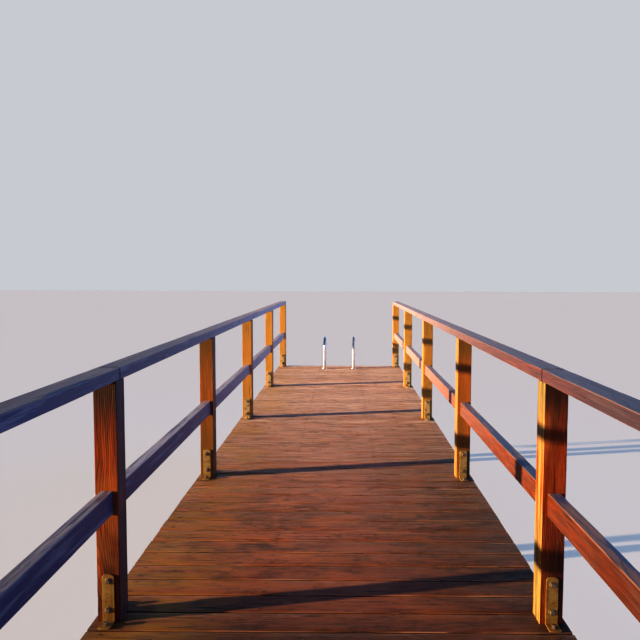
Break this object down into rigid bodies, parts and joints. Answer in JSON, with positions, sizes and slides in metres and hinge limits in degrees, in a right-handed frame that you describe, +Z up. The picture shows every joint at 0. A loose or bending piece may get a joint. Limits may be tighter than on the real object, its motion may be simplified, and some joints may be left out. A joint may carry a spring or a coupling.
{
  "type": "wooden jetty",
  "caption": "Straight timber jetty with a boarded walkway between post-and-rail railings on round piles, with a tubular swim ladder at its far end.",
  "frame": {"origin": "middle of the whole jetty in plan, at the level of the pile feet", "axes": "+X to the right when walking out, +Y along the jetty from the shore end to the ladder end, +Z up"},
  "size_m": [2.05, 12.31, 2.7],
  "materials": {
    "board_wood": "weathered red-brown softwood decking, dry and matt",
    "post_wood": "warm orange-brown sawn softwood, lightly weathered",
    "rail_wood": "sawn softwood, grey-brown on top where the weather reaches it",
    "beam_wood": "damp dark brown sawn timber",
    "pile_wood": "peeled round logs, dark and damp towards the foot",
    "angle_steel": "galvanised steel, stained yellow-brown",
    "ladder_steel": "stainless steel, satin"
  },
  "bodies": {
    "root": {"pile_left_1": "pile_wood", "pile_left_2": "pile_wood", "pile_left_3": "pile_wood", "pile_left_4": "pile_wood", "pile_right_1": "pile_wood", "pile_right_2": "pile_wood", "pile_right_3": "pile_wood", "pile_right_4": "pile_wood", "cap_beams_1": "beam_wood", "cap_beams_2": "beam_wood", "cap_beams_3": "beam_wood", "cap_beams_4": "beam_wood", "stringer_1": "beam_wood", "stringer_2": "beam_wood", "stringer_3": "beam_wood", "stringer_4": "beam_wood", "end_beam_shore": "beam_wood", "end_beam_lake": "beam_wood", "deck_boards_1": "board_wood", "deck_boards_2": "board_wood", "deck_boards_3": "board_wood", "deck_boards_4": "board_wood", "deck_boards_5": "board_wood", "deck_boards_6": "board_wood", "post_left_1": "post_wood", "post_left_2": "post_wood", "post_left_3": "post_wood", "post_left_4": "post_wood", "post_left_5": "post_wood", "post_left_6": "post_wood", "post_left_7": "post_wood", "post_right_1": "post_wood", "post_right_2": "post_wood", "post_right_3": "post_wood", "post_right_4": "post_wood", "post_right_5": "post_wood", "post_right_6": "post_wood", "post_right_7": "post_wood", "top_rail_left": "rail_wood", "middle_rails_left": "rail_wood", "post_angles_left": "angle_steel", "ladder_stile_left": "ladder_steel", "top_rail_right": "rail_wood", "middle_rails_right": "rail_wood", "post_angles_right": "angle_steel", "ladder_stile_right": "ladder_steel", "ladder_treads": "ladder_steel"}
  },
  "joints": []
}
